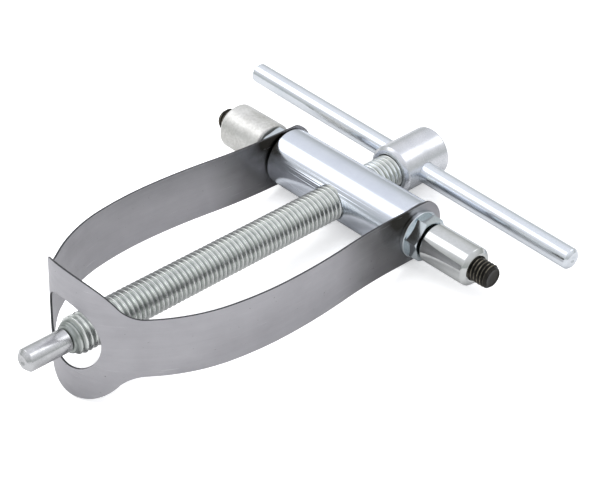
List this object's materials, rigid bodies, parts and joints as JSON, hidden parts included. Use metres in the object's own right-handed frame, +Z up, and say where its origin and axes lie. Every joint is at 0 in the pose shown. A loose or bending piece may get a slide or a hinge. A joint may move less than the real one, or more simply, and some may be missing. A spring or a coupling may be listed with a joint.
{
  "type": "piston pin puller",
  "caption": "Strap-type piston pin puller: a threaded spindle with a T-handle runs through a crossbar, and a spring-steel strap loops round to a round eye at its nose.",
  "frame": {"origin": "on the spindle's axis at the shoulder of the nose pin, where the pin leaves the threaded spindle", "axes": "+Y along the spindle from the nose to the T-handle, +X along the crossbar towards the small driver, +Z up across the strap's width"},
  "size_m": [0.146, 0.1692, 0.0444],
  "materials": {
    "satin_plate": "smooth satin-bright plated bar",
    "spring_steel": "bare brushed spring steel with fine scratches",
    "bright_zinc": "bright blue-white zinc plate",
    "zinc_thread": "zinc-plated rolled thread",
    "tommy_zinc": "bright zinc-plated drawn bar",
    "black_oxide": "black oxide on a machine thread, slightly oily",
    "polished_steel": "turned and polished steel",
    "ground_steel": "ground satin steel",
    "spring_wire": "plain spring wire"
  },
  "bodies": {
    "frame": {"crossbar": "satin_plate", "strap": "spring_steel", "right_washer": "bright_zinc", "left_washer": "bright_zinc", "right_nut": "bright_zinc", "left_nut": "bright_zinc", "right_stud": "black_oxide", "left_stud": "black_oxide"},
    "nose": {"nose_pin": "bright_zinc", "pin_retaining_ring": "spring_wire"},
    "spindle": {"spindle": "zinc_thread", "spindle_head": "bright_zinc"},
    "tommy_bar": {"tommy_bar": "tommy_zinc"},
    "small_driver": {"small_driver": "polished_steel"},
    "large_driver": {"large_driver": "ground_steel"}
  },
  "joints": [
    {"name": "spindle_advance", "type": "slide", "parent": "frame", "child": "nose", "axis": [0, 1, 0], "range_m": [-0.008, 0.1]},
    {"name": "spindle_turn", "type": "hinge", "parent": "nose", "child": "spindle", "pos_m": [0, 0, 0], "axis": [0, 1, 0], "range_deg": [-1640, 20520]},
    {"name": "tommy_slide", "type": "slide", "parent": "spindle", "child": "tommy_bar", "axis": [0.9997, 0, -0.0262], "range_m": [-0.058, 0.062]},
    {"name": "small_driver_off", "type": "slide", "parent": "frame", "child": "small_driver", "axis": [1, 0, 0], "range_m": [0, 0.027]},
    {"name": "large_driver_off", "type": "slide", "parent": "frame", "child": "large_driver", "axis": [-1, 0, 0], "range_m": [0, 0.027]}
  ],
  "couplings": [
    {"joint": "spindle_advance", "follows": "spindle_turn", "m_per_rad": 0.00027852}
  ]
}
